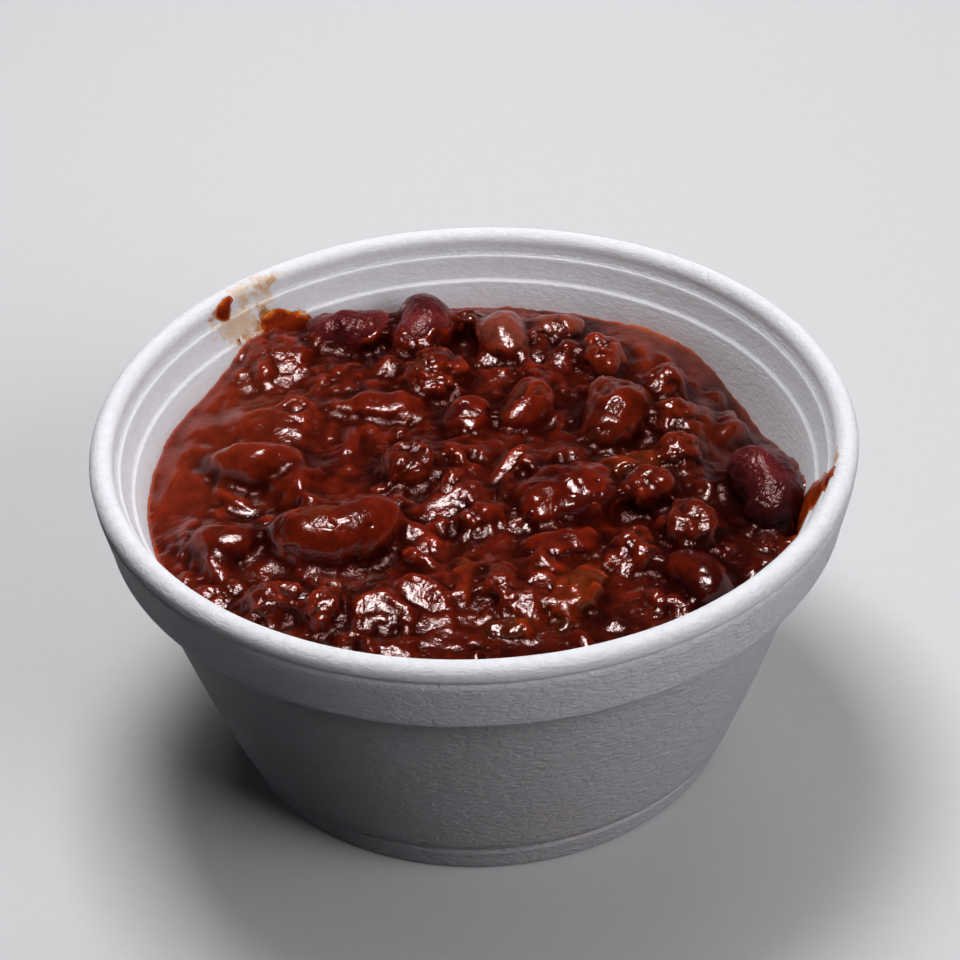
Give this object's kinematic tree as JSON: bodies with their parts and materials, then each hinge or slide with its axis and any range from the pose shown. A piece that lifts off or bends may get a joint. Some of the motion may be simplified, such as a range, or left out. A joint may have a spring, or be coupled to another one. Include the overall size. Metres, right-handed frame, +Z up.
{
  "type": "chili con carne in a foam bowl",
  "caption": "Squat tapered foam bowl with a collar and rolled lip, filled with thick red chili of kidney beans, minced meat, onion and tomato.",
  "frame": {"origin": "middle of the bowl's base, on the surface that it stands on", "axes": "+Z up along the bowl's axis; +X to the right and -Y to the front as the bowl is looked at from its front"},
  "size_m": [0.1174, 0.1174, 0.0556],
  "materials": {
    "foam": "moulded expanded polystyrene foam, white, fine bead grain, soft satin",
    "sauce": "thick glossy red-brown chili sauce with an oily film",
    "dark_bean": "cooked kidney bean skin, dark maroon, wet",
    "brown_bean": "cooked kidney bean coated with sauce, wet",
    "meat": "browned minced meat, crumbly, wet",
    "onion": "softened onion, amber, translucent, wet",
    "tomato": "cooked tomato, orange-red, wet"
  },
  "bodies": {
    "root": {"foam_bowl": "foam", "chili_sauce": "sauce", "bean_back_left": "dark_bean", "bean_back": "dark_bean", "bean_back_middle": "brown_bean", "bean_back_right": "brown_bean", "bean_middle": "brown_bean", "bean_middle_right": "brown_bean", "bean_right": "dark_bean", "bean_left": "dark_bean", "bean_front_left": "brown_bean", "bean_left_front": "brown_bean", "bean_front_right": "dark_bean", "meat_back": "meat", "meat_back_clump": "meat", "meat_back_middle": "meat", "meat_back_right_1": "meat", "meat_back_right_2": "meat", "meat_back_right_3": "meat", "meat_middle_left": "meat", "meat_middle": "meat", "meat_inner_right": "meat", "meat_right": "meat", "meat_front_right": "meat", "meat_front": "meat", "meat_left_1": "meat", "meat_left_2": "meat", "onion_front": "onion", "onion_front_chip": "onion", "onion_front_strip": "onion", "onion_right": "onion", "onion_back_strip": "onion", "tomato_middle": "tomato", "tomato_chunk": "tomato", "tomato_skin": "tomato"}
  },
  "joints": []
}
